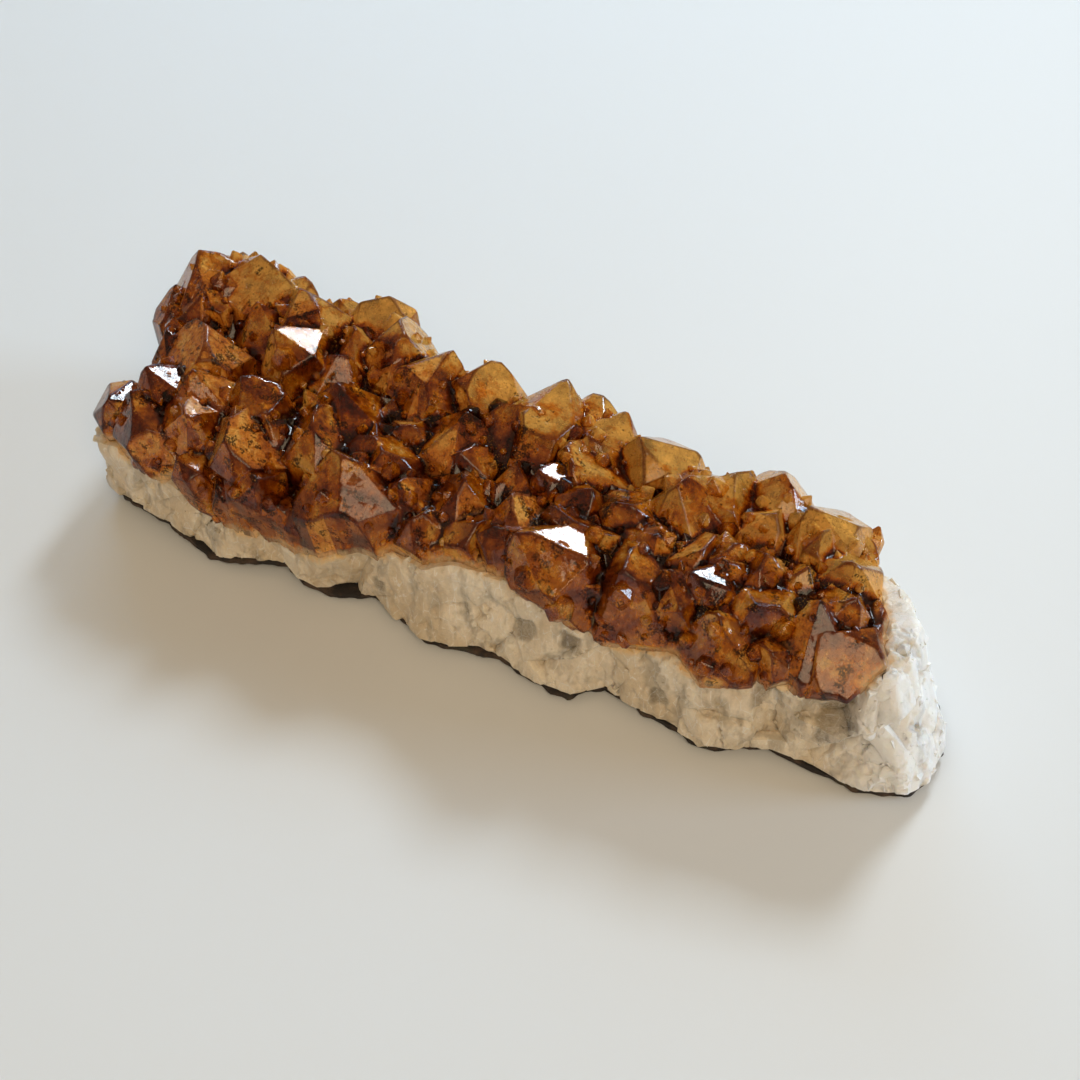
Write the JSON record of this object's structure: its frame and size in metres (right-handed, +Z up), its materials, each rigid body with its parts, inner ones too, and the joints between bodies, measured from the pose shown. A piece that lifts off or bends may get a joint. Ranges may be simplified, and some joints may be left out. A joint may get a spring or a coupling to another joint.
{
  "type": "citrine crystal cluster",
  "caption": "Elongated hand-sized cluster of amber citrine points on a broken slab of milky quartz with a thin dark skin of host rock, resting flat.",
  "frame": {"origin": "the middle of the resting face, under the centre of the whole cluster", "axes": "+X along the slab's length, from the wide end to the narrow end; +Z up, the way the points grow; the tall broken front of the slab faces -Y"},
  "size_m": [0.1768, 0.0536, 0.0406],
  "materials": {
    "basalt": "rough dark brown-black skin of host rock",
    "milky_quartz": "broken, sugary, faintly see-through milky quartz",
    "citrine": "clear to hazy amber quartz with glossy natural faces"
  },
  "bodies": {
    "root": {"basalt_rind": "basalt", "quartz_base": "milky_quartz", "citrine_crystals": "citrine"}
  },
  "joints": []
}
